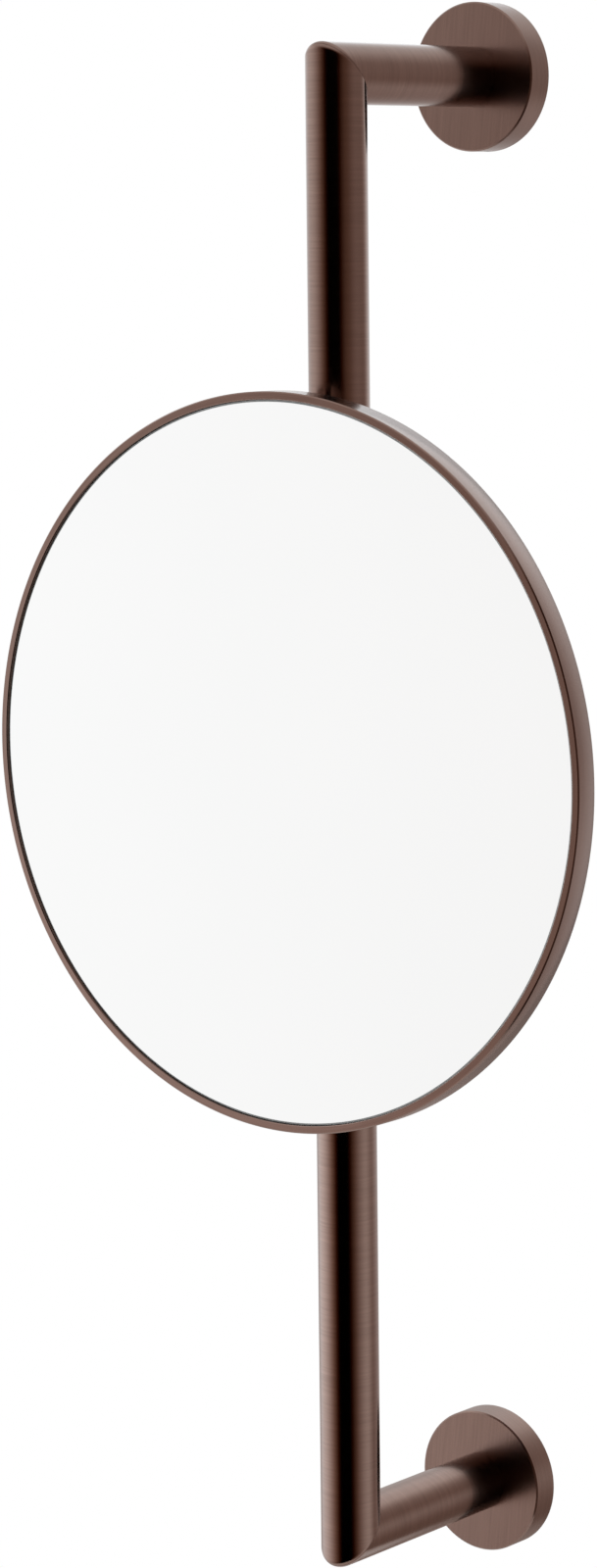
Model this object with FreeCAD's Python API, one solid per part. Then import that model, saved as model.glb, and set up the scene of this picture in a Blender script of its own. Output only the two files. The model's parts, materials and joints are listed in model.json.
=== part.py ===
import FreeCAD, Part
import math
import os

# Wall-mounted makeup mirror on a vertical bar.
# Two rosettes on the wall carry two short arms, and a bar joins the arms at mitred corners.
# A carriage slides on the bar, a sleeve turns on the carriage, and the round mirror tilts on the sleeve.
# Millimetres. X points right as seen from the front, Y points into the wall and Z points up.
# The origin lies on the wall, midway between the two arms.

V = FreeCAD.Vector
RIGHT = V(1, 0, 0)
TO_WALL = V(0, 1, 0)
FORWARD = V(0, -1, 0)
UP = V(0, 0, 1)
FULL_TURN = 360
HEX_SIDES = 6

# Bar and arms
TUBE_DIAMETER = 18.0
TUBE_WALL = 1.5
ARM_SPACING = 436.0
BAR_REACH = 74.0
MITRE_ROUND = 2.3
MITRE_ROUND_WIDTH_SHARE = 0.985

# Screw from inside each rosette into the end of its arm
ARM_SCREW_DIAMETER = 6.0
ARM_SCREW_HEAD_DIAMETER = 10.0
ARM_SCREW_HEAD_HEIGHT = 4.0
ARM_SCREW_SOCKET_WIDTH = 5.0
ARM_SCREW_SOCKET_DEPTH = 2.5
ARM_SCREW_GRIP = 12.0
ARM_SCREW_WALL_GAP = 1.4
LOCK_WASHER_THICKNESS = 1.4
ARM_PLUG_LENGTH = 16.0
BRAZE_GAP = 0.05
THREAD_GAP = 0.05

# Rosettes
ROSETTE_DIAMETER = 44.5
ROSETTE_FRONT_WALL = 2.0
ROSETTE_SIDE_WALL = 1.9
ROSETTE_CHAMFER = 0.45

# Wall plates inside the rosettes, and the grub screws that lock the rosettes on them
PLATE_THICKNESS = 4.0
PLATE_SIDE_GAP = 0.15
PLATE_HEAD_GAP = 1.8
WALL_SCREW_HOLE_DIAMETER = 4.8
WALL_SCREW_HEAD_DIAMETER = 9.0
GRUB_DIAMETER = 3.0
GRUB_LENGTH = 3.0
GRUB_SUNK = 0.25
GRUB_SOCKET_WIDTH = 1.5
GRUB_SOCKET_DEPTH = 1.4

# Carriage that slides on the bar
SLIDER_HEIGHT = 19.6
BUSH_GAP = 0.05
BUSH_WALL = 2.45
BUSH_FLANGE = 2.0
BUSH_EDGE_ROUND = 0.5
GRIP_RING_SECTION = 1.5
GRIP_RING_OFFSET = 9.0
GRIP_RING_SIDE_GAP = 0.1
COLLAR_HEIGHT = 3.0
THRUST_WASHER_THICKNESS = 0.8

# Sleeve that turns on the carriage
SLEEVE_GAP = 0.05
SLEEVE_WALL = 2.2
SLEEVE_LENGTH = 30.0
SLEEVE_END_PLAY = 0.1
SLEEVE_EDGE_ROUND = 0.5

# Tilt hinge between the sleeve and the mirror
KNUCKLE_RADIUS = 3.9
LUG_WIDTH = 8.0
LUG_END_GAP = 0.3
EAR_THICKNESS = 3.0
EAR_GAP = 0.55
HINGE_WASHER_THICKNESS = 0.8
HINGE_WASHER_PLAY = 0.05
TILT_PIN_DIAMETER = 4.0
TILT_PIN_GAP = 0.05
TILT_PIN_HEAD_HEIGHT = 2.2
TILT_PIN_HEAD_ROUND = 0.5
TILT_PIN_SOCKET_WIDTH = 2.5
TILT_PIN_SOCKET_DEPTH = 1.5
TILT_NUT_HEIGHT = 3.2
BRACKET_DIAMETER = 40.0
BRACKET_BASE = 1.8
BRACKET_SCREW_INSET = 5.0
BRACKET_SCREW_DIAMETER = 3.0
BRACKET_SCREW_HEAD_DIAMETER = 5.6
BRACKET_SCREW_COUNT = 4
BRACKET_SCREW_SLOT_WIDTH = 0.8
BRACKET_SCREW_SLOT_DEPTH = 0.7

# Mirror head
FRAME_DIAMETER = 216.0
FRAME_RIM = 2.3
FRAME_OUTER_CHAMFER = 0.35
FRAME_INNER_CHAMFER = 0.2
BACK_LEDGE = 1.2
BACK_THICKNESS = 2.0
BACK_FIT_GAP = 0.05
GLASS_RECESS = 0.8
GLASS_THICKNESS = 4.0
GLASS_SIDE_GAP = 0.1
GLASS_BEVEL_WIDTH = 0.6
GLASS_BEVEL_DEPTH = 0.35
PAD_THICKNESS = 1.0
PAD_EDGE_INSET = 7.5

# Length by which every cutting tool runs past the surface that it opens
OVERRUN = 1.0

# Distance under which two places are taken as one
SAME_PLACE = 0.0001

# Sizes and places worked out from the driving dimensions
tube_r = TUBE_DIAMETER / 2
tube_bore_r = tube_r - TUBE_WALL
bar_y = -BAR_REACH
arm_heights = {"upper": ARM_SPACING / 2, "lower": -ARM_SPACING / 2}

rosette_r = ROSETTE_DIAMETER / 2
rosette_bore_r = rosette_r - ROSETTE_SIDE_WALL
rosette_cavity = LOCK_WASHER_THICKNESS + ARM_SCREW_HEAD_HEIGHT + ARM_SCREW_WALL_GAP
rosette_depth = ROSETTE_FRONT_WALL + rosette_cavity

arm_screw_r = ARM_SCREW_DIAMETER / 2
arm_screw_head_r = ARM_SCREW_HEAD_DIAMETER / 2
plate_r = rosette_bore_r - PLATE_SIDE_GAP
plate_hole_r = arm_screw_head_r + PLATE_HEAD_GAP
wall_screw_x = (plate_r + plate_hole_r) / 2
grub_r = GRUB_DIAMETER / 2
grub_y = -PLATE_THICKNESS / 2
grub_outer = rosette_r - GRUB_SUNK
grub_tip = grub_outer - GRUB_LENGTH

bush_bore_r = tube_r + BUSH_GAP
bush_r = bush_bore_r + BUSH_WALL
sleeve_bore_r = bush_r + SLEEVE_GAP
sleeve_r = sleeve_bore_r + SLEEVE_WALL
sleeve_bottom = SLIDER_HEIGHT - SLEEVE_LENGTH / 2
sleeve_top = SLIDER_HEIGHT + SLEEVE_LENGTH / 2
washer_bottom = sleeve_bottom - SLEEVE_END_PLAY - THRUST_WASHER_THICKNESS
flange_bottom = washer_bottom - BUSH_FLANGE
collar_bottom = sleeve_top + SLEEVE_END_PLAY
collar_top = collar_bottom + COLLAR_HEIGHT

tilt_pin_r = TILT_PIN_DIAMETER / 2
pivot_forward = sleeve_r + EAR_GAP + KNUCKLE_RADIUS
bracket_forward = pivot_forward + KNUCKLE_RADIUS + LUG_END_GAP
head_back_forward = bracket_forward + BRACKET_BASE
lug_half = LUG_WIDTH / 2
ear_inner = lug_half + HINGE_WASHER_PLAY + HINGE_WASHER_THICKNESS
ear_outer = ear_inner + EAR_THICKNESS
pivot = V(0, bar_y - pivot_forward, SLIDER_HEIGHT)

frame_r = FRAME_DIAMETER / 2
frame_bore_r = frame_r - FRAME_RIM
frame_depth = GLASS_RECESS + GLASS_THICKNESS + PAD_THICKNESS + BACK_THICKNESS
ledge_r = frame_bore_r + BACK_LEDGE
glass_r = frame_bore_r - GLASS_SIDE_GAP
pad_r = glass_r - PAD_EDGE_INSET
head_back = V(0, bar_y - head_back_forward, SLIDER_HEIGHT)


def rounded_wire(corners):
    """Closed wire in the XZ plane through (x, z, round) corners, each round being an arc of that radius."""
    points = [V(x, 0, z) for x, z, _ in corners]
    count = len(points)
    starts = []
    ends = []
    path = []
    for i, (_, _, radius) in enumerate(corners):
        here = points[i]
        before = (points[i - 1] - here).normalize()
        after = (points[(i + 1) % count] - here).normalize()
        half = before.getAngle(after) / 2
        tangent = radius / math.tan(half)
        starts.append(here + before * tangent)
        ends.append(here + after * tangent)
        if radius:
            middle = here + (before + after).normalize() * (radius / math.sin(half) - radius)
            path.append(Part.Arc(starts[i], middle, ends[i]).toShape())
    path += [Part.makeLine(ends[i], starts[(i + 1) % count]) for i in range(count)]
    return Part.Wire(Part.__sortEdges__(path))


def turned(corners, base, axis):
    """Solid turned about an axis: corners are (radius, distance along the axis from base, round)."""
    solid = Part.Face(rounded_wire(corners)).revolve(V(0, 0, 0), UP, FULL_TURN)
    solid.Placement = FreeCAD.Placement(base, FreeCAD.Rotation(UP, axis))
    return solid


def ring(outer_r, inner_r, length, base, axis, edge_round=0):
    """Plain ring or tube, whose outer edges may be rounded."""
    return turned(
        [
            (inner_r, 0, 0),
            (outer_r, 0, edge_round),
            (outer_r, length, edge_round),
            (inner_r, length, 0),
        ],
        base,
        axis,
    )


def drill(radius, length, base, axis):
    """Cutting rod that starts one overrun before base and ends one overrun past length."""
    return Part.makeCylinder(radius, length + 2 * OVERRUN, base - axis * OVERRUN, axis)


def hex_prism(width, length, base, axis):
    """Hexagonal prism, width measured across its flats."""
    corner_r = width / 2 / math.cos(math.pi / HEX_SIDES)
    angles = [2 * math.pi * i / HEX_SIDES for i in range(HEX_SIDES + 1)]
    outline = [V(corner_r * math.cos(a), corner_r * math.sin(a), 0) for a in angles]
    prism = Part.Face(Part.makePolygon(outline)).extrude(UP * length)
    prism.Placement = FreeCAD.Placement(base, FreeCAD.Rotation(UP, axis))
    return prism


def socket(width, depth, mouth, inward):
    """Cutting hexagon for a key socket, open at its mouth."""
    return hex_prism(width, depth + OVERRUN, mouth - inward * OVERRUN, inward)


def save(node, *solids):
    """Write one node's solids to its own STEP file."""
    for solid in solids:
        assert solid.isValid() and solid.Volume > 0, node
    shape = solids[0] if len(solids) == 1 else Part.makeCompound(list(solids))
    shape.exportStep("parts/" + node + ".step")


# Bar and arms


def bar_zone():
    """Slab that holds the bar and no arm: its slanting ends are the two mitre planes."""
    reach = TUBE_DIAMETER
    top = arm_heights["upper"]
    bottom = arm_heights["lower"]
    outline = [
        V(-reach, bar_y - reach, top + reach),
        V(-reach, bar_y + reach, top - reach),
        V(-reach, bar_y + reach, bottom + reach),
        V(-reach, bar_y - reach, bottom - reach),
    ]
    return Part.Face(Part.makePolygon(outline + outline[:1])).extrude(RIGHT * 2 * reach)


def seamed_rod(radius, length, base, axis, seam):
    """Solid rod whose surface starts and ends on the side that seam points to."""
    rod = Part.makeCylinder(radius, length)
    rod.Placement = FreeCAD.Placement(base, FreeCAD.Rotation(seam, V(), axis, "ZXY"))
    return rod


def mitred_rods(radius, arm_end):
    """Bar and both arms as solid rods of one radius, sharp at the mitres; the arms end arm_end off the wall."""
    zone = bar_zone()
    height = ARM_SPACING + TUBE_DIAMETER
    rods = seamed_rod(radius, height, V(0, bar_y, -height / 2), UP, TO_WALL).common(zone)
    for arm_z in arm_heights.values():
        inward = UP * -math.copysign(1, arm_z)
        length = BAR_REACH + tube_r - arm_end
        arm = seamed_rod(radius, length, V(0, -arm_end, arm_z), FORWARD, inward)
        rods = rods.fuse(arm.cut(zone))
    return rods.Solids[0]


def on_outer_mitre(edge):
    """Whether an edge runs along the outside of a mitre."""
    middle = edge.valueAt((edge.FirstParameter + edge.LastParameter) / 2)
    forward = bar_y - middle.y
    beyond_arm = abs(middle.z) - ARM_SPACING / 2
    return forward > SAME_PLACE and abs(forward - beyond_arm) < SAME_PLACE


def rail():
    """Bar and arms in one hollow piece, with the outside of each mitre rounded.

    The round stops just short of the tube's sides, where the two surfaces are flush and it would vanish.
    """
    rods = mitred_rods(tube_r, rosette_depth)
    half_width = tube_r * MITRE_ROUND_WIDTH_SHARE
    deep = BAR_REACH + TUBE_DIAMETER
    tall = ARM_SPACING + 2 * TUBE_DIAMETER
    middle_zone = Part.makeBox(2 * half_width, deep, tall, V(-half_width, -deep, -tall / 2))
    middle = rods.common(middle_zone).Solids[0]
    rounded = middle.makeFillet(MITRE_ROUND, [edge for edge in middle.Edges if on_outer_mitre(edge)])
    whole = rounded.fuse(rods.cut(middle_zone).Solids)
    return whole.cut(mitred_rods(tube_bore_r, rosette_depth - OVERRUN))


def bar_tube(whole_rail):
    """Upright tube, cut at 45 degrees where it meets each arm."""
    return whole_rail.common(bar_zone()).removeSplitter().Solids[0]


def arm_tube(whole_rail, arm_z):
    """Short tube from the front of a rosette to the bar, cut at 45 degrees at the bar."""
    arms = whole_rail.cut(bar_zone()).removeSplitter().Solids
    return min(arms, key=lambda arm: abs(arm.CenterOfMass.z - arm_z))


def arm_plug(arm_z):
    """Threaded plug brazed into the wall end of an arm."""
    base = V(0, -rosette_depth, arm_z)
    return ring(tube_bore_r - BRAZE_GAP, arm_screw_r + THREAD_GAP, ARM_PLUG_LENGTH, base, FORWARD)


def arm_screw(arm_z):
    """Socket-head screw that clamps a rosette to its arm from the wall side."""
    head_face = V(0, -ARM_SCREW_WALL_GAP, arm_z)
    head_end = ARM_SCREW_HEAD_HEIGHT
    tip = head_end + LOCK_WASHER_THICKNESS + ROSETTE_FRONT_WALL + ARM_SCREW_GRIP
    screw = turned(
        [
            (0, 0, 0),
            (arm_screw_head_r, 0, 0),
            (arm_screw_head_r, head_end, 0),
            (arm_screw_r, head_end, 0),
            (arm_screw_r, tip, 0),
            (0, tip, 0),
        ],
        head_face,
        FORWARD,
    )
    return screw.cut(socket(ARM_SCREW_SOCKET_WIDTH, ARM_SCREW_SOCKET_DEPTH, head_face, FORWARD))


def lock_washer(arm_z):
    """Washer under the head of an arm screw."""
    base = V(0, -rosette_cavity, arm_z)
    return ring(arm_screw_head_r, arm_screw_r + THREAD_GAP, LOCK_WASHER_THICKNESS, base, TO_WALL)


# Rosettes and wall plates


def rosette(arm_z):
    """Round cup that hides the wall plate, with a hole for the arm screw and one for the grub screw."""
    wall = V(0, 0, arm_z)
    cup = turned(
        [
            (rosette_bore_r, 0, 0),
            (rosette_r, 0, 0),
            (rosette_r, rosette_depth - ROSETTE_CHAMFER, 0),
            (rosette_r - ROSETTE_CHAMFER, rosette_depth, 0),
            (arm_screw_r + THREAD_GAP, rosette_depth, 0),
            (arm_screw_r + THREAD_GAP, rosette_cavity, 0),
            (rosette_bore_r, rosette_cavity, 0),
        ],
        wall,
        FORWARD,
    )
    inside = V(0, grub_y, arm_z - rosette_bore_r)
    return cup.cut(drill(grub_r + THREAD_GAP, ROSETTE_SIDE_WALL, inside, -UP)).Solids[0]


def wall_plate(arm_z):
    """Disc screwed to the wall by two countersunk screws, with a dimple for the grub screw's tip."""
    plate = ring(plate_r, plate_hole_r, PLATE_THICKNESS, V(0, 0, arm_z), FORWARD)
    hole_r = WALL_SCREW_HOLE_DIAMETER / 2
    head_r = WALL_SCREW_HEAD_DIAMETER / 2
    cone = head_r - hole_r
    for x in (-wall_screw_x, wall_screw_x):
        plate = plate.cut(drill(hole_r, PLATE_THICKNESS, V(x, 0, arm_z), FORWARD))
        mouth = V(x, -PLATE_THICKNESS, arm_z)
        plate = plate.cut(Part.makeCone(head_r, hole_r, cone, mouth, TO_WALL))
    dimple = V(0, grub_y, arm_z - grub_tip)
    return plate.cut(Part.makeCylinder(grub_r + THREAD_GAP, GRUB_LENGTH, dimple, -UP)).Solids[0]


def grub_screw(arm_z):
    """Headless screw under a rosette, whose tip bears on the wall plate."""
    face = V(0, grub_y, arm_z - grub_outer)
    screw = Part.makeCylinder(grub_r, GRUB_LENGTH, face, UP)
    return screw.cut(socket(GRUB_SOCKET_WIDTH, GRUB_SOCKET_DEPTH, face, UP))


# Carriage and sleeve


def glide_bush():
    """Bush that slides on the bar, with a flange below the sleeve and grooves for the grip rings."""
    height = collar_top - flange_bottom
    flange_top = BUSH_FLANGE
    groove_r = bush_bore_r + GRIP_RING_SECTION + GRIP_RING_SIDE_GAP
    groove_half = GRIP_RING_SECTION / 2 + GRIP_RING_SIDE_GAP
    bush = turned(
        [
            (bush_bore_r, 0, 0),
            (sleeve_r, 0, BUSH_EDGE_ROUND),
            (sleeve_r, flange_top, 0),
            (bush_r, flange_top, 0),
            (bush_r, height, 0),
            (bush_bore_r, height, 0),
        ],
        V(0, bar_y, flange_bottom),
        UP,
    )
    for offset in (-GRIP_RING_OFFSET, GRIP_RING_OFFSET):
        base = V(0, bar_y, SLIDER_HEIGHT + offset - groove_half)
        bush = bush.cut(ring(groove_r, tube_r, 2 * groove_half, base, UP))
    return bush.Solids[0]


def grip_ring(offset):
    """Rubber ring in a groove of the bush, which grips the bar."""
    centre_r = bush_bore_r + GRIP_RING_SECTION / 2
    return Part.makeTorus(centre_r, GRIP_RING_SECTION / 2, V(0, bar_y, SLIDER_HEIGHT + offset), UP)


def thrust_washer():
    """Washer between the bush's flange and the sleeve."""
    base = V(0, bar_y, washer_bottom)
    return ring(sleeve_r, bush_r + SLEEVE_GAP, THRUST_WASHER_THICKNESS, base, UP)


def bush_collar():
    """Ring pressed on the top of the bush, which keeps the sleeve on it."""
    base = V(0, bar_y, collar_bottom)
    return turned(
        [
            (bush_r + BRAZE_GAP, 0, 0),
            (sleeve_r, 0, 0),
            (sleeve_r, COLLAR_HEIGHT, BUSH_EDGE_ROUND),
            (bush_r + BRAZE_GAP, COLLAR_HEIGHT, 0),
        ],
        base,
        UP,
    )


def knuckle(x_low, x_high, root_forward):
    """Plate across the tilt axis, from root_forward to the pivot, with a round end at the pivot."""
    width = x_high - x_low
    near = min(root_forward, pivot_forward)
    far = max(root_forward, pivot_forward)
    low_corner = V(x_low, bar_y - far, SLIDER_HEIGHT - KNUCKLE_RADIUS)
    plate = Part.makeBox(width, far - near, 2 * KNUCKLE_RADIUS, low_corner)
    end = Part.makeCylinder(KNUCKLE_RADIUS, width, pivot + RIGHT * x_low, RIGHT)
    return plate.fuse(end)


def swivel_sleeve():
    """Sleeve round the bush, with a lug in front that carries the tilt pin."""
    base = V(0, bar_y, sleeve_bottom)
    body = ring(sleeve_r, sleeve_bore_r, SLEEVE_LENGTH, base, UP, SLEEVE_EDGE_ROUND)
    lug = knuckle(-lug_half, lug_half, sleeve_bore_r - SLEEVE_WALL)
    lug = lug.cut(Part.makeCylinder(sleeve_bore_r, SLEEVE_LENGTH, base, UP))
    lug = lug.cut(drill(tilt_pin_r + TILT_PIN_GAP, LUG_WIDTH, pivot - RIGHT * lug_half, RIGHT))
    return body.fuse(lug).removeSplitter().Solids[0]


# Tilt hinge


def bracket_screw_places():
    """Centres of the bracket's screws, on the face of the bracket that looks to the wall."""
    circle_r = BRACKET_DIAMETER / 2 - BRACKET_SCREW_INSET
    face = V(0, bar_y - bracket_forward, SLIDER_HEIGHT)
    step = 2 * math.pi / BRACKET_SCREW_COUNT
    angles = [step * (i + 1 / 2) for i in range(BRACKET_SCREW_COUNT)]
    return [face + V(circle_r * math.cos(a), 0, circle_r * math.sin(a)) for a in angles]


def bracket_screw_outline(gap):
    """Half outline of a countersunk screw, from its head's face, grown by a gap."""
    shank_r = BRACKET_SCREW_DIAMETER / 2 + gap
    head_r = BRACKET_SCREW_HEAD_DIAMETER / 2 + gap
    tip = BRACKET_BASE + BACK_THICKNESS
    return [(0, 0, 0), (head_r, 0, 0), (shank_r, head_r - shank_r, 0), (shank_r, tip, 0), (0, tip, 0)]


def tilt_bracket():
    """Disc screwed to the back plate, with two ears that hold the tilt pin."""
    face = V(0, bar_y - bracket_forward, SLIDER_HEIGHT)
    bracket = Part.makeCylinder(BRACKET_DIAMETER / 2, BRACKET_BASE, face, FORWARD)
    root_forward = bracket_forward + BRACKET_BASE / 2
    for x_low in (-ear_outer, ear_inner):
        bracket = bracket.fuse(knuckle(x_low, x_low + EAR_THICKNESS, root_forward))
    bracket = bracket.cut(drill(tilt_pin_r + TILT_PIN_GAP, 2 * ear_outer, pivot - RIGHT * ear_outer, RIGHT))
    for place in bracket_screw_places():
        bracket = bracket.cut(turned(bracket_screw_outline(THREAD_GAP), place, FORWARD))
    return bracket.removeSplitter().Solids[0]


def bracket_screw(place):
    """Slotted countersunk screw through the bracket into the back plate."""
    screw = turned(bracket_screw_outline(0), place, FORWARD)
    slot = Part.makeBox(
        BRACKET_SCREW_HEAD_DIAMETER + 2 * OVERRUN,
        BRACKET_SCREW_SLOT_DEPTH + OVERRUN,
        BRACKET_SCREW_SLOT_WIDTH,
        place
        - RIGHT * (BRACKET_SCREW_HEAD_DIAMETER / 2 + OVERRUN)
        - UP * BRACKET_SCREW_SLOT_WIDTH / 2
        + FORWARD * BRACKET_SCREW_SLOT_DEPTH,
    )
    return screw.cut(slot).Solids[0]


def tilt_pin():
    """Shoulder screw on the tilt axis, with its head outside the right ear."""
    tip = 2 * ear_outer + TILT_NUT_HEIGHT
    head_top = V(ear_outer + TILT_PIN_HEAD_HEIGHT, pivot.y, pivot.z)
    pin = turned(
        [
            (0, 0, 0),
            (KNUCKLE_RADIUS, 0, TILT_PIN_HEAD_ROUND),
            (KNUCKLE_RADIUS, TILT_PIN_HEAD_HEIGHT, 0),
            (tilt_pin_r, TILT_PIN_HEAD_HEIGHT, 0),
            (tilt_pin_r, TILT_PIN_HEAD_HEIGHT + tip, 0),
            (0, TILT_PIN_HEAD_HEIGHT + tip, 0),
        ],
        head_top,
        -RIGHT,
    )
    return pin.cut(socket(TILT_PIN_SOCKET_WIDTH, TILT_PIN_SOCKET_DEPTH, head_top, -RIGHT))


def tilt_nut():
    """Hexagon nut on the tilt pin, outside the left ear."""
    width = 2 * KNUCKLE_RADIUS * math.cos(math.pi / HEX_SIDES)
    face = pivot - RIGHT * ear_outer
    nut = hex_prism(width, TILT_NUT_HEIGHT, face, -RIGHT)
    return nut.cut(drill(tilt_pin_r + THREAD_GAP, TILT_NUT_HEIGHT, face, -RIGHT))


def hinge_washer(side):
    """Friction washer between the lug and one ear."""
    face = pivot + RIGHT * side * ear_inner
    return ring(KNUCKLE_RADIUS, tilt_pin_r + TILT_PIN_GAP, HINGE_WASHER_THICKNESS, face, RIGHT * -side)


# Mirror head


def frame_ring():
    """Rim of the mirror, with a ledge at the back that holds the back plate."""
    return turned(
        [
            (ledge_r, 0, 0),
            (frame_r - FRAME_OUTER_CHAMFER, 0, 0),
            (frame_r, FRAME_OUTER_CHAMFER, 0),
            (frame_r, frame_depth - FRAME_OUTER_CHAMFER, 0),
            (frame_r - FRAME_OUTER_CHAMFER, frame_depth, 0),
            (frame_bore_r + FRAME_INNER_CHAMFER, frame_depth, 0),
            (frame_bore_r, frame_depth - FRAME_INNER_CHAMFER, 0),
            (frame_bore_r, BACK_THICKNESS, 0),
            (ledge_r, BACK_THICKNESS, 0),
        ],
        head_back,
        FORWARD,
    )


def back_plate():
    """Disc that closes the back of the rim, tapped for the bracket's screws."""
    plate = Part.makeCylinder(ledge_r - BACK_FIT_GAP, BACK_THICKNESS, head_back, FORWARD)
    for place in bracket_screw_places():
        plate = plate.cut(turned(bracket_screw_outline(THREAD_GAP), place, FORWARD))
    return plate.Solids[0]


def glass_pad():
    """Adhesive foam sheet between the back plate and the glass."""
    base = head_back + FORWARD * BACK_THICKNESS
    return Part.makeCylinder(pad_r, PAD_THICKNESS, base, FORWARD)


def mirror_glass():
    """Flat silvered glass with a narrow bevel round its front edge."""
    base = head_back + FORWARD * (BACK_THICKNESS + PAD_THICKNESS)
    return turned(
        [
            (0, 0, 0),
            (glass_r, 0, 0),
            (glass_r, GLASS_THICKNESS - GLASS_BEVEL_DEPTH, 0),
            (glass_r - GLASS_BEVEL_WIDTH, GLASS_THICKNESS, 0),
            (0, GLASS_THICKNESS, 0),
        ],
        base,
        FORWARD,
    )


def main():
    os.makedirs("parts", exist_ok=True)
    whole_rail = rail()
    save("bar_tube", bar_tube(whole_rail))
    for end, arm_z in arm_heights.items():
        save(end + "_wall_plate", wall_plate(arm_z))
        save(end + "_rosette", rosette(arm_z))
        save(end + "_grub_screw", grub_screw(arm_z))
        save(end + "_arm_tube", arm_tube(whole_rail, arm_z))
        save(end + "_arm_plug", arm_plug(arm_z))
        save(end + "_arm_screw", arm_screw(arm_z))
        save(end + "_lock_washer", lock_washer(arm_z))
    save("glide_bush", glide_bush())
    save("upper_grip_ring", grip_ring(GRIP_RING_OFFSET))
    save("lower_grip_ring", grip_ring(-GRIP_RING_OFFSET))
    save("thrust_washer", thrust_washer())
    save("bush_collar", bush_collar())
    save("swivel_sleeve", swivel_sleeve())
    save("tilt_bracket", tilt_bracket())
    save("bracket_screws", *[bracket_screw(place) for place in bracket_screw_places()])
    save("tilt_pin", tilt_pin())
    save("tilt_nut", tilt_nut())
    save("right_hinge_washer", hinge_washer(1))
    save("left_hinge_washer", hinge_washer(-1))
    save("frame_ring", frame_ring())
    save("back_plate", back_plate())
    save("glass_pad", glass_pad())
    save("mirror_glass", mirror_glass())


main()
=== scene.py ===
import json
import math

import bmesh
import bpy
from mathutils import Euler, Matrix, Vector


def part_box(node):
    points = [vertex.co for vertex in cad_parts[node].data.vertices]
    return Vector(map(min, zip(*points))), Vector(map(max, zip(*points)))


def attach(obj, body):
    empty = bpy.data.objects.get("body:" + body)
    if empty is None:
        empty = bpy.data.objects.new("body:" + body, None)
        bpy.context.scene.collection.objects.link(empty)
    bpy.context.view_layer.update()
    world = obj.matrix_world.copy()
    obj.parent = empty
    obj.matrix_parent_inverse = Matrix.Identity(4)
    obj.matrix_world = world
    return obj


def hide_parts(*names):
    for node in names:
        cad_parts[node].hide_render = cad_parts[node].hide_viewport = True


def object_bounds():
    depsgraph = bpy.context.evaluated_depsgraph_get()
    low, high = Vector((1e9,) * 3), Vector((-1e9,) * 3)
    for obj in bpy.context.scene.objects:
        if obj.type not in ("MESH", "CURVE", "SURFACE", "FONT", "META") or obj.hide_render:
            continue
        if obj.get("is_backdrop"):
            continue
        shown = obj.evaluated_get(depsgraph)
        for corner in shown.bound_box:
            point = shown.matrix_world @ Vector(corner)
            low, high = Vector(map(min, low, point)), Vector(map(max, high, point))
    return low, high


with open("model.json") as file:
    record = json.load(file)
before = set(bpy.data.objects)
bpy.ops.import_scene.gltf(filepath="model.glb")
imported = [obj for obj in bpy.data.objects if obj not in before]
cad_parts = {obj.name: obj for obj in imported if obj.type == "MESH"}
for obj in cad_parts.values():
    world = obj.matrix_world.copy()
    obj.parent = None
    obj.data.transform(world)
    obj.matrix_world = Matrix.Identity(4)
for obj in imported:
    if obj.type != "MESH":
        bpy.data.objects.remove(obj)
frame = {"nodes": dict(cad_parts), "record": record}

# Wall-mounted makeup mirror on a brushed bronze bar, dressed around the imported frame.
# Metres. X points right as seen from the front, Y points into the wall and Z points up.

cad_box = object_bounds()
MM = 0.001
Y_AXIS = Vector((0, 1, 0))
Z_AXIS = Vector((0, 0, 1))
WHITE = (1, 1, 1, 1)
FULL_TURN = 2 * math.pi
QUARTER_TURN = math.radians(90)
HALF_TURN_DEGREES = 180

# Ends of the bar, and the way that each lies along Z
ENDS = {"upper": 1, "lower": -1}

# Mesh fineness
TUBE_SIDES = 192
RIM_SIDES = 512
FLOOR_SIDES = 128
SHELL_SIDES = 64
CORNER_ROWS = 16
STRAIGHT_ROW_STEP = 20 * MM

# Tubes
TUBE_WALL = 1.5 * MM
CORNER_LEAD_IN = 1.0 * MM
SEAM_HALF_WIDTH = 0.06 * MM
SEAM_DEPTH = 0.15 * MM

# Rim and glass
RIM_WIDTH = 2.3 * MM
RIM_OUTER_CHAMFER = 0.35 * MM
RIM_INNER_CHAMFER = 0.2 * MM
RIM_CHAMFER_SLOPE = math.radians(45)
RIM_BACK_LEDGE = 1.2 * MM
RIM_FRONT_TILT = math.radians(-6)
RIM_BACK_TILT = math.radians(-16)
BACK_THICKNESS = 2.0 * MM
GLASS_BEVEL_WIDTH = 0.6 * MM
GLASS_BEVEL_DEPTH = 0.35 * MM

# Camera that matches the photograph
CAMERA_PLACE = Vector((0.772, -1.0384, 0.1786))
CAMERA_YAW = math.radians(39.291)
CAMERA_PITCH = math.radians(7.736)
CAMERA_ROLL = math.radians(0.67)
CAMERA_LENS = 96.825
CAMERA_SENSOR = 36.0

# Floor, with the share of white glow in it over the object's shadow
FLOOR_DROP = 400 * MM
FLOOR_RADIUS = 420 * MM
FLOOR_SHADOW_RADIUS = 150 * MM
FLOOR_COLOUR = (0.93, 0.93, 0.93, 1)
FLOOR_ROUGHNESS = 0.9
FLOOR_GLOW = 0.6

# Lamp, which points at the origin
LAMP_PLACE = Vector((-0.4, -0.5, 1.6))
LAMP_SIZE = 1.2
LAMP_POWER = 12.0

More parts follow.
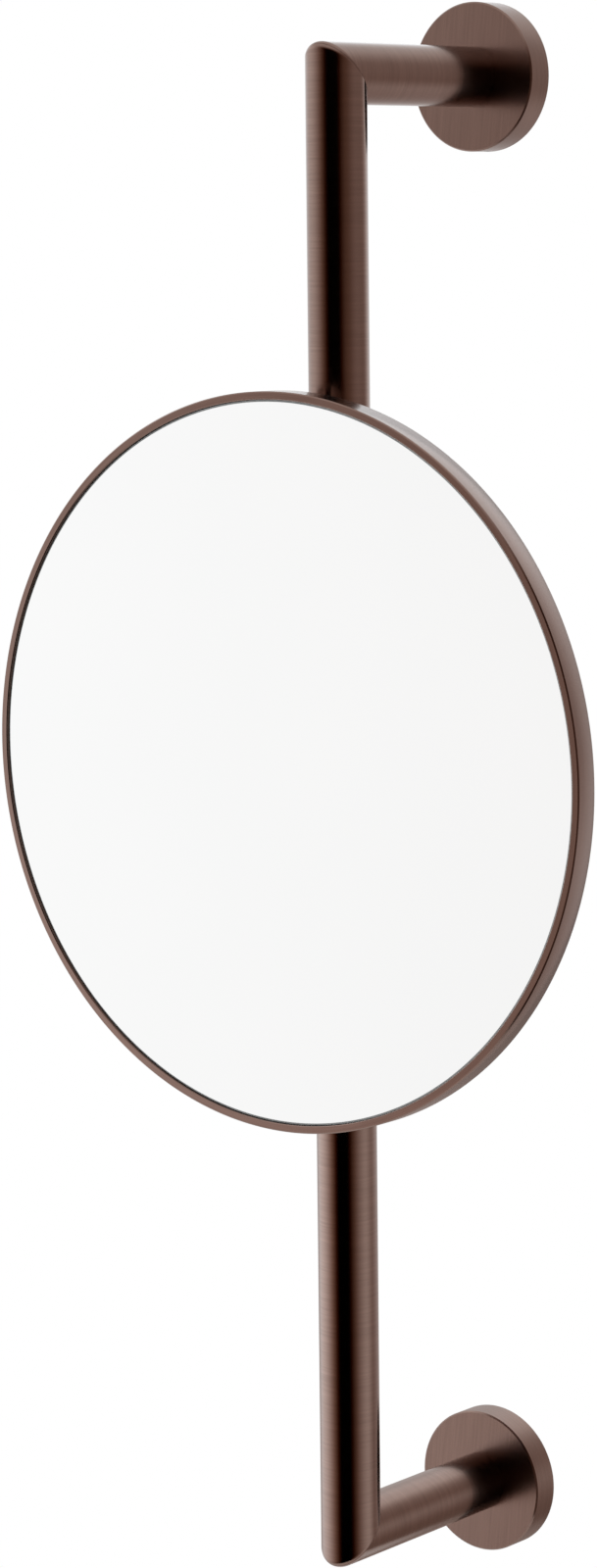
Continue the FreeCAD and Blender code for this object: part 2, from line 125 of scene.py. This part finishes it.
# Studio that the metal mirrors: a white surround, with dark flags and soft lights round the object.
# Places are azimuths and elevations in degrees, and azimuth is measured from the front towards the right.
# To both sides of its azimuth, a flag or light is full up to its span's first angle and gone at the second.
# It rises from nothing to full between its low elevations, and fades to nothing between its high ones.
FLAGS = {
    "front": {"azimuth": 20, "span": (15, 90), "low": (-95, -90), "high": (30, 60), "level": 1},
    "right": {"azimuth": 110, "span": (30, 70), "low": (-25, 5), "high": (35, 80), "level": 0.5},
    "low_back": {"azimuth": -170, "span": (45, 85), "low": (-95, -90), "high": (-50, 20), "level": 0.65},
}
SOFT_LIGHTS = {
    "left": {"azimuth": -45, "span": (30, 75), "low": (-55, -25), "high": (-20, 25), "level": 1.05},
    "overhead": {"azimuth": -100, "span": (75, 130), "low": (5, 35), "high": (20, 55), "level": 0.8},
    "back": {"azimuth": 175, "span": (0, 45), "low": (-50, -20), "high": (-15, 30), "level": 0.5},
}
FLAG_DISTANCE = 0.8
SOFT_LIGHT_DISTANCE = 0.82
# Tint of the white surround as seen through a flag's edge, by the share of light that passes
FLAG_TINT = {
    0: (0, 0, 0, 1),
    0.05: (0.05, 0.01, 0.002, 1),
    0.25: (0.25, 0.16, 0.12, 1),
    0.45: (0.45, 0.36, 0.33, 1),
    1: WHITE,
}
SOFT_LIGHT_TINT = (0.76, 0.91, 1, 1)
# Share of the flags that shows in the glass
FLAG_IN_GLASS = 0.1
# Level of the light on matt surfaces
PLAIN_LEVEL = 0.8

# Brushed metal
BRONZE = (0.225, 0.147, 0.122, 1)
BRASS = (0.72, 0.52, 0.24, 1)
TUBE_FINISH = {"roughness": 0.16, "anisotropy": 0.6, "lines_per_metre": 1600}
RIM_FINISH = {"roughness": 0.2, "anisotropy": 0.6, "lines_per_metre": 3200}
ROSETTE_FINISH = {"roughness": 0.25, "anisotropy": 0.6, "lines_per_metre": 2400, "face_lines": (0.1, 0, 1)}
# Least share of a normal along the axis on a flat face
FLAT_FACE_SHARE = 0.8
# The shine lies across the lines, a quarter of a turn from the way that they run
SHINE_TURN = 0.25
BRUSH_DRIFT_PER_METRE = 55
BRUSH_NOISE = {"Scale": 1, "Detail": 3, "Roughness": 0.6}
# Shares of the metal's colour in dark and light lines, by their places in the noise
BRUSH_TONES = {0.25: 0.86, 0.75: 1.14}
BRUSH_GLOSS_CHANGE = 0.03
# Depth of a line as a share of the lines' spacing
BRUSH_RELIEF = 0.032
BRUSH_RELIEF_STRENGTH = 0.05

# Silvering of the mirror
SILVER_CLOUDS_PER_METRE = 14
SILVER_TONES = {0: (0.965, 0.975, 0.975, 1), 1: (0.985, 0.99, 0.99, 1)}

# Plated, moulded, foamed and ground surfaces, with clouds a few grains wide
CLOUD_GRAINS = 8
CLOUD_DETAIL = 4
GRAIN_DETAIL = 2
DARK_CLOUD = 0.3
LIGHT_CLOUD = 0.7
CLOUD_GLOSS_SHARES = (0.8, 1.2)
GRAIN_RELIEF_STRENGTH = 0.3
GROUND_GLASS = {
    "dark": (0.42, 0.44, 0.44, 1), "light": (0.52, 0.54, 0.54, 1), "metallic": 0,
    "roughness": 0.5, "grain_per_metre": 6000, "relief_depth": 0.01 * MM,
}
SMALL_PART_FINISHES = {
    "zinc_steel": {
        "dark": (0.44, 0.45, 0.46, 1), "light": (0.62, 0.63, 0.64, 1), "metallic": 1,
        "roughness": 0.34, "grain_per_metre": 3000, "relief_depth": 0.01 * MM,
    },
    "nylon": {
        "dark": (0.026, 0.026, 0.028, 1), "light": (0.048, 0.048, 0.051, 1), "metallic": 0,
        "roughness": 0.42, "grain_per_metre": 5000, "relief_depth": 0.02 * MM,
    },
    "rubber": {
        "dark": (0.016, 0.016, 0.016, 1), "light": (0.03, 0.03, 0.03, 1), "metallic": 0,
        "roughness": 0.75, "grain_per_metre": 4000, "relief_depth": 0.04 * MM,
    },
    "foam": {
        "dark": (0.045, 0.045, 0.048, 1), "light": (0.085, 0.085, 0.09, 1), "metallic": 0,
        "roughness": 0.9, "grain_per_metre": 1500, "relief_depth": 0.15 * MM,
    },
}


# Places and sizes taken from the frame


def middle(node):
    """Centre of a CAD node's box."""
    low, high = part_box(node)
    return (low + high) / 2


def size(node):
    """Edge lengths of a CAD node's box."""
    low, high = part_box(node)
    return high - low


bar_middle = middle("bar_tube")
tube_r = size("bar_tube").x / 2
bore_r = tube_r - TUBE_WALL
bar_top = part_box("bar_tube")[1].z
arm_heights = {end: middle(end + "_arm_tube").z for end in ENDS}
arm_wall_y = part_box("upper_arm_tube")[1].y
# A round of this radius on the mitre's outside takes the bar's top down to where it is
mitre_round = (tube_r - (bar_top - arm_heights["upper"])) / (1 - math.sqrt(1 / 2))
rim_middle = middle("frame_ring")
rim_r = size("frame_ring").x / 2
rim_depth = size("frame_ring").y
rim_back_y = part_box("frame_ring")[1].y
glass_r = size("mirror_glass").x / 2
glass_depth = size("mirror_glass").y
glass_back_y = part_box("mirror_glass")[1].y


# Meshes


def angles_round(count):
    """Angles of points that are evenly spaced round a circle."""
    return [FULL_TURN * i / count for i in range(count)]


def grid(name, rows, strips, capped):
    """Mesh of quads between rings of points, and the normals of its corners.

    A strip joins one row to the next. It is either a pair of normal lists, for its two rows, or None where
    it is shaded flat. A capped grid ends in two flat faces, and any other closes on its first row.
    """
    count = len(rows[0])
    points = [point for row in rows for point in row]
    faces = []
    normals = []
    row_total = len(rows)
    smooth = next(j for j, strip in enumerate(strips) if strip is not None)
    side = rows[smooth][1] - rows[smooth][0]
    reach = rows[smooth + 1][0] - rows[smooth][0]
    outward = side.cross(reach).dot(strips[smooth][0][0]) > 0
    for j, strip in enumerate(strips):
        k = (j + 1) % row_total
        for i in range(count):
            n = (i + 1) % count
            corners = ((j, i), (j, n), (k, n), (k, i))
            if not outward:
                corners = corners[::-1]
            faces.append([row * count + column for row, column in corners])
            if strip is None:
                a, b, c, d = (rows[row][column] for row, column in corners)
                flat = (c - a).cross(d - b).normalized()
                normals += [flat] * len(corners)
            else:
                normals += [strip[0 if row == j else 1][column] for row, column in corners]
    if capped:
        last = (row_total - 1) * count
        ends = (list(range(count))[::-1], list(range(last, last + count)))
        for face in ends:
            if not outward:
                face.reverse()
            faces.append(face)
            a, b, c = (points[face[m * count // 3]] for m in range(3))
            normals += [(b - a).cross(c - a).normalized()] * count
    mesh = bpy.data.meshes.new(name)
    mesh.from_pydata([tuple(point) for point in points], [], faces)
    return mesh, [tuple(normal) for normal in normals]


def piece_from(shape, name, body, node, capped=False):
    """Piece made from rows and strips, which rides on a body and stands for a CAD node."""
    mesh, normals = grid(name, *shape, capped)
    mesh.validate()
    mesh.polygons.foreach_set("use_smooth", [True] * len(mesh.polygons))
    mesh.normals_split_custom_set(normals)
    piece = bpy.data.objects.new(name, mesh)
    bpy.context.scene.collection.objects.link(piece)
    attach(piece, body)
    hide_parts(node)
    return piece


def corner_path(angle):
    """Points and normals along one side line of a tube as it nears a mitre.

    They are (across, outward, along) with the mitre's centre as origin: outward points to the outside of the
    corner, and along points out along the tube. The outside of the mitre is rounded as by a rolling ball.
    """
    across = math.sin(angle)
    outward = math.cos(angle)
    start = Vector((across, outward, 0))
    if outward <= 0:
        end = tube_r * outward - SEAM_HALF_WIDTH
        begin = end - CORNER_LEAD_IN
        return [
            (Vector((tube_r * across, tube_r * outward, begin + (end - begin) * k / CORNER_ROWS)), start)
            for k in range(CORNER_ROWS + 1)
        ]
    ball = (tube_r - mitre_round) * Vector((across, outward, outward))
    half_turn = start.angle(Vector((across, 0, outward))) / 2
    aside = (Vector((across, 0, outward)) - start * across * across).normalized()
    arc = max(half_turn * mitre_round - SEAM_HALF_WIDTH, 0)
    whole = CORNER_LEAD_IN + arc
    path = []
    for k in range(CORNER_ROWS + 1):
        gone = whole * k / CORNER_ROWS - CORNER_LEAD_IN
        turn = max(gone, 0) / mitre_round
        normal = start * math.cos(turn) + aside * math.sin(turn)
        point = ball + normal * mitre_round
        point.z += min(gone, 0)
        path.append((point, normal))
    return path


def mitre_end(to_place):
    """Rows and normals of a tube's mitred end, and the rows of its seam's bottom and of its bore."""
    angles = angles_round(TUBE_SIDES)
    paths = [corner_path(angle) for angle in angles]
    rows = [[to_place(path[k][0]) for path in paths] for k in range(CORNER_ROWS + 1)]
    normals = [[to_place(path[k][1], True) for path in paths] for k in range(CORNER_ROWS + 1)]
    groove = []
    bore = []
    for angle, path in zip(angles, paths):
        edge, normal = path[-1]
        bottom = edge - normal * SEAM_DEPTH
        level = (bottom.y + bottom.z) / 2
        groove.append(to_place(Vector((bottom.x, level, level))))
        inner = bore_r * math.cos(angle)
        bore.append(to_place(Vector((bore_r * math.sin(angle), inner, inner))))
    return rows, normals, groove, bore


def straight_rows(first, last, normals):
    """Rows evenly spaced between two rows of a tube, and their normals."""
    span = (last[0] - first[0]).length
    count = max(1, round(span / STRAIGHT_ROW_STEP))
    rows = []
    for k in range(1, count):
        rows.append([a.lerp(b, k / count) for a, b in zip(first, last)])
    return rows, [normals] * len(rows)


def outer_strips(normals):
    """Smooth strips between neighbouring rows that have these normals."""
    return [(normals[k], normals[k + 1]) for k in range(len(normals) - 1)]


def corner_placer(end, on_arm):
    """Function that puts a corner's coordinates in place at an end of the bar, or at the front of its arm."""
    corner = Vector((0, bar_middle.y, arm_heights[end]))

    def to_place(v, is_normal=False):
        forward, away = (v.z, v.y) if on_arm else (v.y, v.z)
        turned = Vector((v.x, -forward, ENDS[end] * away))
        return turned if is_normal else corner + turned

    return to_place


def bar_shape():
    """Upright tube, mitred at both ends."""
    top, top_normals, top_groove, top_bore = mitre_end(corner_placer("upper", on_arm=False))
    low, low_normals, low_groove, low_bore = mitre_end(corner_placer("lower", on_arm=False))
    straight, straight_normals = straight_rows(low[0], top[0], top_normals[0])
    outside = low[::-1] + straight + top
    normals = low_normals[::-1] + straight_normals + top_normals
    bore_normals = [-n for n in top_normals[0]]
    rows = [low_groove] + outside + [top_groove, top_bore, low_bore]
    strips = [None] + outer_strips(normals) + [None, None, (bore_normals, bore_normals), None]
    return rows, strips


def arm_shape(end):
    """Short tube from a rosette to the bar, mitred at the bar."""
    front, front_normals, groove, bore = mitre_end(corner_placer(end, on_arm=True))
    wall = [Vector((point.x, arm_wall_y, point.z)) for point in front[0]]
    axis = Vector((0, arm_wall_y, arm_heights[end]))
    wall_bore = [axis + (point - axis) * bore_r / tube_r for point in wall]
    straight, straight_normals = straight_rows(wall, front[0], front_normals[0])
    outside = [wall] + straight + front
    normals = [front_normals[0]] + straight_normals + front_normals
    bore_normals = [-n for n in front_normals[0]]
    rows = outside + [groove, bore, wall_bore]
    strips = outer_strips(normals) + [None, None, (bore_normals, bore_normals), None]
    return rows, strips


def turned_rows(profile, back_y):
    """Rings of points about the mirror's axis, for a profile of radius and distance in front of a level."""
    centre = Vector((rim_middle.x, back_y, rim_middle.z))
    angles = angles_round(RIM_SIDES)
    return [
        [centre + Vector((r * math.cos(a), -d, r * math.sin(a))) for a in angles]
        for r, d in profile
    ]


def turned_normals(tilt):
    """Normals round a turned piece, tilted from straight outwards towards the front by an angle."""
    reach = math.cos(tilt)
    lean = math.sin(tilt)
    return [Vector((reach * math.cos(a), -lean, reach * math.sin(a))) for a in angles_round(RIM_SIDES)]


def rim_shape():
    """Rim of the mirror: closed profile with chamfered edges and a ledge for the back plate."""
    inner = rim_r - RIM_WIDTH
    ledge = inner + RIM_BACK_LEDGE
    profile = [
        (rim_r - RIM_OUTER_CHAMFER, 0),
        (rim_r, RIM_OUTER_CHAMFER),
        (rim_r, rim_depth - RIM_OUTER_CHAMFER),
        (rim_r - RIM_OUTER_CHAMFER, rim_depth),
        (inner + RIM_INNER_CHAMFER, rim_depth),
        (inner, rim_depth - RIM_INNER_CHAMFER),
        (inner, BACK_THICKNESS),
        (ledge, BACK_THICKNESS),
        (ledge, 0),
    ]
    side = (turned_normals(RIM_BACK_TILT), turned_normals(RIM_FRONT_TILT))
    inside = [-n for n in turned_normals(0)]
    back_slope = turned_normals(-RIM_CHAMFER_SLOPE)
    front_slope = turned_normals(RIM_CHAMFER_SLOPE)
    inner_slope = turned_normals(math.pi - RIM_CHAMFER_SLOPE)
    strips = [
        (back_slope, back_slope),
        side,
        (front_slope, front_slope),
        None,
        (inner_slope, inner_slope),
        (inside, inside),
        None,
        (inside, inside),
        None,
    ]
    return turned_rows(profile, rim_back_y), strips


def glass_shape():
    """Flat glass with a narrow ground bevel round its front edge."""
    profile = [
        (glass_r, 0),
        (glass_r, glass_depth - GLASS_BEVEL_DEPTH),
        (glass_r - GLASS_BEVEL_WIDTH, glass_depth),
    ]
    side = turned_normals(0)
    bevel = turned_normals(math.atan2(GLASS_BEVEL_WIDTH, GLASS_BEVEL_DEPTH))
    strips = [(side, side), (bevel, bevel)]
    return turned_rows(profile, glass_back_y), strips


# Shader nodes


class Graph:
    """Nodes and links of a material or world, with short ways to add to them."""

    def __init__(self, owner):
        owner.use_nodes = True
        self.nodes = owner.node_tree.nodes
        self.links = owner.node_tree.links

    def feed(self, node, inputs):
        """Gives a node's inputs, by name or position, their values or the sockets that feed them."""
        for key, value in dict(inputs).items():
            if isinstance(value, bpy.types.NodeSocket):
                self.links.new(value, node.inputs[key])
            else:
                node.inputs[key].default_value = value

    def add(self, kind, inputs=(), **properties):
        """New node with its properties and inputs."""
        node = self.nodes.new("ShaderNode" + kind)
        for key, value in properties.items():
            setattr(node, key, value)
        self.feed(node, inputs)
        return node

    def number(self, operation, *values):
        """Socket with the result of a maths operation on numbers."""
        return self.add("Math", enumerate(values), operation=operation).outputs["Value"]

    def vector(self, operation, *values):
        """Socket with the vector that an operation on vectors gives."""
        return self.add("VectorMath", enumerate(values), operation=operation).outputs["Vector"]

    def measure(self, operation, *values):
        """Socket with the number that an operation on vectors gives."""
        return self.add("VectorMath", enumerate(values), operation=operation).outputs["Value"]

    def place(self):
        """Socket with the place on a piece, in its own coordinates."""
        return self.add("TexCoord").outputs["Object"]

    def noise(self, place, settings, **properties):
        """Socket with a noise at a place."""
        return self.add("TexNoise", {"Vector": place, **settings}, **properties).outputs["Fac"]

    def brought(self, value, start, end, results=(0, 1), kind="LINEAR"):
        """Socket with a value brought from between two ends to between two results, and held there."""
        low, high = results
        inputs = {"Value": value, "From Min": start, "From Max": end, "To Min": low, "To Max": high}
        return self.add("MapRange", inputs, interpolation_type=kind).outputs["Result"]

    def ramp(self, value, stops):
        """Socket with the colour for a value, between stops that give colours for some values."""
        node = self.add("ValToRGB", {"Fac": value})
        elements = node.color_ramp.elements
        first, *between, last = sorted(stops)
        for element, stop in zip(elements, (first, last)):
            element.position = stop
            element.color = stops[stop]
        for stop in between:
            elements.new(stop).color = stops[stop]
        return node.outputs["Color"]

    def mixed(self, share, shader, other):
        """Socket with a shader that gives way to another by a share."""
        return self.add("MixShader", enumerate((share, shader, other))).outputs["Shader"]

    def seen_directly(self):
        """Socket that is 1 for the camera, for reflections and for what is seen through glass."""
        rays = self.add("LightPath").outputs
        seen = self.number("MAXIMUM", rays["Is Camera Ray"], rays["Is Glossy Ray"])
        return self.number("MAXIMUM", seen, rays["Is Transmission Ray"])


# Materials


def new_material(name):
    """Material, its graph and its Principled shader."""
    material = bpy.data.materials.new(name)
    graph = Graph(material)
    return material, graph, graph.nodes["Principled BSDF"]


def dress(piece, *materials):
    """Gives a piece its materials in place of any that it has."""
    piece.data.materials.clear()
    for material in materials:
        piece.data.materials.append(material)


def vary(graph, shader, pattern, tones, gloss, grain, relief):
    """Lets a pattern vary a shader's colour and gloss, and a grain its height."""
    bump = graph.add("Bump", {"Height": grain, **relief})
    graph.feed(shader, {
        "Base Color": graph.ramp(pattern, tones),
        "Roughness": graph.brought(pattern, 0, 1, gloss),
        "Normal": bump.outputs["Normal"],
    })


def brush_lines(graph, axis, offset, face_lines):
    """Sockets for the way that brush lines run at an offset from a centre, and the position across them."""
    around = graph.vector("CROSS_PRODUCT", axis, offset)
    along = graph.measure("DOT_PRODUCT", offset, axis)
    across = graph.number("ADD", along, graph.measure("LENGTH", around))
    if face_lines is None:
        return around, across

    # On flat faces the lines are straight
    normal = graph.add("TexCoord").outputs["Normal"]
    facing = graph.number("ABSOLUTE", graph.measure("DOT_PRODUCT", normal, axis))
    flat = graph.number("GREATER_THAN", facing, FLAT_FACE_SHARE)
    aside = Vector(face_lines).cross(axis).normalized()
    change = graph.number("SUBTRACT", graph.measure("DOT_PRODUCT", offset, aside), across)
    turn = graph.vector("SUBTRACT", face_lines, around)
    run = graph.vector("MULTIPLY_ADD", turn, flat, around)
    return run, graph.number("MULTIPLY_ADD", change, flat, across)


def brushed_metal(name, axis, centre, finish=TUBE_FINISH, colour=BRONZE):
    """Metal brushed in fine lines, which run round an axis through a centre or straight over flat faces."""
    material, graph, shader = new_material(name)
    offset = graph.vector("SUBTRACT", graph.place(), centre)
    run, across = brush_lines(graph, axis, offset, finish.get("face_lines"))

    # The shine follows the lines, which turn with the piece
    to_world = graph.add(
        "VectorTransform", {"Vector": run}, vector_type="VECTOR", convert_from="OBJECT", convert_to="WORLD"
    )
    graph.feed(shader, {
        "Metallic": 1,
        "Anisotropic": finish["anisotropy"],
        "Anisotropic Rotation": SHINE_TURN,
        "Tangent": graph.vector("NORMALIZE", to_world.outputs["Vector"]),
    })
    line_count = graph.number("MULTIPLY", across, finish["lines_per_metre"])
    drift = graph.vector("MULTIPLY", offset, [BRUSH_DRIFT_PER_METRE] * len(axis))
    lines = graph.noise(drift, {"W": line_count, **BRUSH_NOISE}, noise_dimensions="4D")
    tones = {stop: [share * c for c in colour[:3]] + [1] for stop, share in BRUSH_TONES.items()}
    gloss = (finish["roughness"] - BRUSH_GLOSS_CHANGE, finish["roughness"] + BRUSH_GLOSS_CHANGE)
    relief = {"Strength": BRUSH_RELIEF_STRENGTH, "Distance": BRUSH_RELIEF / finish["lines_per_metre"]}
    vary(graph, shader, lines, tones, gloss, lines, relief)
    return material


def mottled(name, dark, light, metallic, roughness, grain_per_metre, relief_depth):
    """Plated, moulded, foamed or ground surface: a cloudy tone, uneven gloss and a fine grain."""
    material, graph, shader = new_material(name)
    graph.feed(shader, {"Metallic": metallic})
    place = graph.place()
    clouds = graph.noise(place, {"Scale": grain_per_metre / CLOUD_GRAINS, "Detail": CLOUD_DETAIL})
    grain = graph.noise(place, {"Scale": grain_per_metre, "Detail": GRAIN_DETAIL})
    tones = {DARK_CLOUD: dark, LIGHT_CLOUD: light}
    gloss = [roughness * share for share in CLOUD_GLOSS_SHARES]
    relief = {"Strength": GRAIN_RELIEF_STRENGTH, "Distance": relief_depth}
    vary(graph, shader, clouds, tones, gloss, grain, relief)
    return material


def silvered_glass():
    """Mirror: sharp reflections, with a silvering that is very slightly uneven."""
    material, graph, shader = new_material("silvered_glass")
    clouds = graph.noise(graph.place(), {"Scale": SILVER_CLOUDS_PER_METRE})
    graph.feed(shader, {"Metallic": 1, "Roughness": 0, "Base Color": graph.ramp(clouds, SILVER_TONES)})
    return material


# Stage


def stage_object(name, mesh):
    """Object of the stage, which isn't part of the mirror."""
    holder = bpy.data.objects.new(name, mesh)
    bpy.context.scene.collection.objects.link(holder)
    holder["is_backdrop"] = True
    return holder


def make_floor():
    """Pale floor below the object. The camera and reflections see it white, apart from the shadow."""
    ring = [(FLOOR_RADIUS * math.cos(a), FLOOR_RADIUS * math.sin(a), 0) for a in angles_round(FLOOR_SIDES)]
    mesh = bpy.data.meshes.new("floor")
    mesh.from_pydata(ring, [], [list(range(FLOOR_SIDES))])
    floor = stage_object("floor", mesh)
    floor.location.z = cad_box[0].z - FLOOR_DROP
    material, graph, shader = new_material("pale_floor")
    graph.feed(shader, {"Base Color": FLOOR_COLOUR, "Roughness": FLOOR_ROUGHNESS})
    reach = graph.measure("LENGTH", graph.place())
    glow = graph.brought(reach, FLOOR_SHADOW_RADIUS, FLOOR_RADIUS, (FLOOR_GLOW, 1), "SMOOTHSTEP")
    share = graph.number("MULTIPLY", graph.seen_directly(), glow)
    white = graph.add("Emission").outputs["Emission"]
    surface = graph.mixed(share, shader.outputs["BSDF"], white)
    graph.feed(graph.nodes["Material Output"], {"Surface": surface})
    dress(floor, material)


def make_lamp():
    """Large soft lamp overhead, which gives the floor its shadow and stays out of the reflections."""
    lamp = bpy.data.lights.new("soft_lamp", "AREA")
    lamp.shape = "DISK"
    lamp.size = LAMP_SIZE
    lamp.energy = LAMP_POWER
    holder = bpy.data.objects.new("soft_lamp", lamp)
    holder.location = LAMP_PLACE
    holder.rotation_euler = (-LAMP_PLACE).to_track_quat("-Z", "Y").to_euler()
    holder.visible_glossy = False
    bpy.context.scene.collection.objects.link(holder)


def make_camera():
    """Camera at the photograph's place."""
    lens = bpy.data.cameras.new("camera")
    lens.lens = CAMERA_LENS
    lens.sensor_width = CAMERA_SENSOR
    camera = bpy.data.objects.new("camera", lens)
    turn = Euler((QUARTER_TURN - CAMERA_PITCH, 0, CAMERA_YAW)).to_matrix()
    turn = turn @ Matrix.Rotation(-CAMERA_ROLL, 3, "Z")
    camera.matrix_world = Matrix.Translation(CAMERA_PLACE) @ turn.to_4x4()
    bpy.context.scene.collection.objects.link(camera)
    bpy.context.scene.camera = camera


def make_shell(name, distance):
    """Sphere round the object for flags or lights, which only shows in reflections. Returns its graph."""
    mesh = bpy.data.meshes.new(name)
    ball = bmesh.new()
    bmesh.ops.create_uvsphere(ball, u_segments=SHELL_SIDES, v_segments=SHELL_SIDES // 2, radius=distance)
    ball.to_mesh(mesh)
    ball.free()
    shell = stage_object(name, mesh)
    shell.visible_camera = False
    shell.visible_diffuse = False
    shell.visible_transmission = False
    shell.visible_shadow = False
    material, graph, shader = new_material(name)
    graph.nodes.remove(shader)
    material.cycles.emission_sampling = "NONE"
    dress(shell, material)
    return graph


def soft_patches(graph, patches):
    """Sockets with the strength of each soft-edged patch in the direction of a point on a shell."""
    unit = graph.vector("NORMALIZE", graph.place())
    x, y, z = graph.add("SeparateXYZ", {"Vector": unit}).outputs
    ahead = graph.number("MULTIPLY", y, -1)
    azimuth = graph.number("DEGREES", graph.number("ARCTAN2", x, ahead))
    elevation = graph.number("DEGREES", graph.number("ARCSINE", z))
    strengths = []
    for patch in patches.values():
        full, nothing = patch["span"]
        start, end = patch["high"]
        turn = graph.number("SUBTRACT", azimuth, patch["azimuth"])
        turn = graph.number("WRAP", turn, HALF_TURN_DEGREES, -HALF_TURN_DEGREES)
        aside = graph.number("ABSOLUTE", turn)
        limits = ((aside, nothing, full), (elevation, *patch["low"]), (elevation, end, start))
        strength = patch["level"]
        for value, edge, inside in limits:
            share = graph.brought(value, edge, inside, kind="SMOOTHSTEP")
            strength = graph.number("MULTIPLY", share, strength)
        strengths.append(strength)
    return strengths


def make_flags():
    """Dark flags, which hold back some of the white surround from the metal and little from the glass."""
    graph = make_shell("flags", FLAG_DISTANCE)
    passed = 1
    for strength in soft_patches(graph, FLAGS):
        passed = graph.number("MULTIPLY", graph.number("SUBTRACT", 1, strength), passed)
    in_glass = graph.add("LightPath").outputs["Is Singular Ray"]
    spared = graph.number("MULTIPLY", in_glass, 1 - FLAG_IN_GLASS)
    held = graph.number("SUBTRACT", 1, passed)
    passed = graph.number("MULTIPLY_ADD", spared, held, passed)
    gauze = graph.add("BsdfTransparent", {"Color": graph.ramp(passed, FLAG_TINT)})
    graph.feed(graph.nodes["Material Output"], {"Surface": gauze.outputs["BSDF"]})


def make_soft_lights():
    """Soft lights behind the flags, which add to the white surround in the metal."""
    graph = make_shell("soft_lights", SOFT_LIGHT_DISTANCE)
    total = 0
    for strength in soft_patches(graph, SOFT_LIGHTS):
        total = graph.number("ADD", strength, total)
    in_glass = graph.add("LightPath").outputs["Is Singular Ray"]
    total = graph.number("MULTIPLY", total, graph.number("SUBTRACT", 1, in_glass))
    glow = graph.add("Emission", {"Color": SOFT_LIGHT_TINT, "Strength": total})
    clear = graph.add("BsdfTransparent")
    both = graph.add("AddShader", {0: glow.outputs["Emission"], 1: clear.outputs["BSDF"]})
    graph.feed(graph.nodes["Material Output"], {"Surface": both.outputs["Shader"]})


def make_world():
    """White surround for the camera, reflections and glass, and plain light for matt surfaces."""
    world = bpy.data.worlds.new("studio")
    bpy.context.scene.world = world
    world.cycles.sampling_method = "NONE"
    graph = Graph(world)
    graph.nodes.clear()
    plain = graph.add("Background", {"Color": WHITE, "Strength": PLAIN_LEVEL})
    white = graph.add("Background", {"Color": WHITE})
    surface = graph.mixed(graph.seen_directly(), plain.outputs["Background"], white.outputs["Background"])
    graph.add("OutputWorld", {"Surface": surface})


bpy.context.scene.view_settings.view_transform = "Standard"
make_camera()
make_floor()
make_lamp()
make_world()
make_flags()
make_soft_lights()


# Bar, arms and rosettes

bar = piece_from(bar_shape(), "bar", "wall_frame", "bar_tube")
dress(bar, brushed_metal("bronze_bar", Z_AXIS, bar_middle))
for end in ENDS:
    arm = piece_from(arm_shape(end), end + "_arm", "wall_frame", end + "_arm_tube")
    axis_point = Vector((0, 0, arm_heights[end]))
    dress(arm, brushed_metal("bronze_" + end + "_arm", Y_AXIS, axis_point))
    rosette_material = brushed_metal("bronze_" + end + "_rosette", Y_AXIS, axis_point, ROSETTE_FINISH)
    dress(frame["nodes"][end + "_rosette"], rosette_material)
    plug_material = brushed_metal("brass_" + end + "_plug", Y_AXIS, axis_point, TUBE_FINISH, BRASS)
    dress(frame["nodes"][end + "_arm_plug"], plug_material)


# Mirror

rim = piece_from(rim_shape(), "rim", "mirror_head", "frame_ring")
dress(rim, brushed_metal("bronze_rim", Y_AXIS, rim_middle, RIM_FINISH))
glass = piece_from(glass_shape(), "glass", "mirror_head", "mirror_glass", capped=True)
dress(glass, silvered_glass(), mottled("ground_glass", **GROUND_GLASS))
# The glass is ground all over except on its two flat faces, which come last
for face in glass.data.polygons[:-2]:
    face.material_index = 1


# Holder behind the mirror, and small parts

for node in ("swivel_sleeve", "bush_collar"):
    dress(frame["nodes"][node], brushed_metal("bronze_" + node, Z_AXIS, bar_middle))
for node in ("tilt_bracket", "back_plate"):
    dress(frame["nodes"][node], brushed_metal("bronze_" + node, Y_AXIS, rim_middle))
small_part_materials = {slot: mottled(slot, **finish) for slot, finish in SMALL_PART_FINISHES.items()}
for part in frame["record"]["subparts"]:
    if part["material_slot"] in small_part_materials:
        dress(frame["nodes"][part["node"]], small_part_materials[part["material_slot"]])

boxes = {"cad": cad_box, "visual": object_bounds()}
{name: [list(corner) for corner in box] for name, box in boxes.items()}
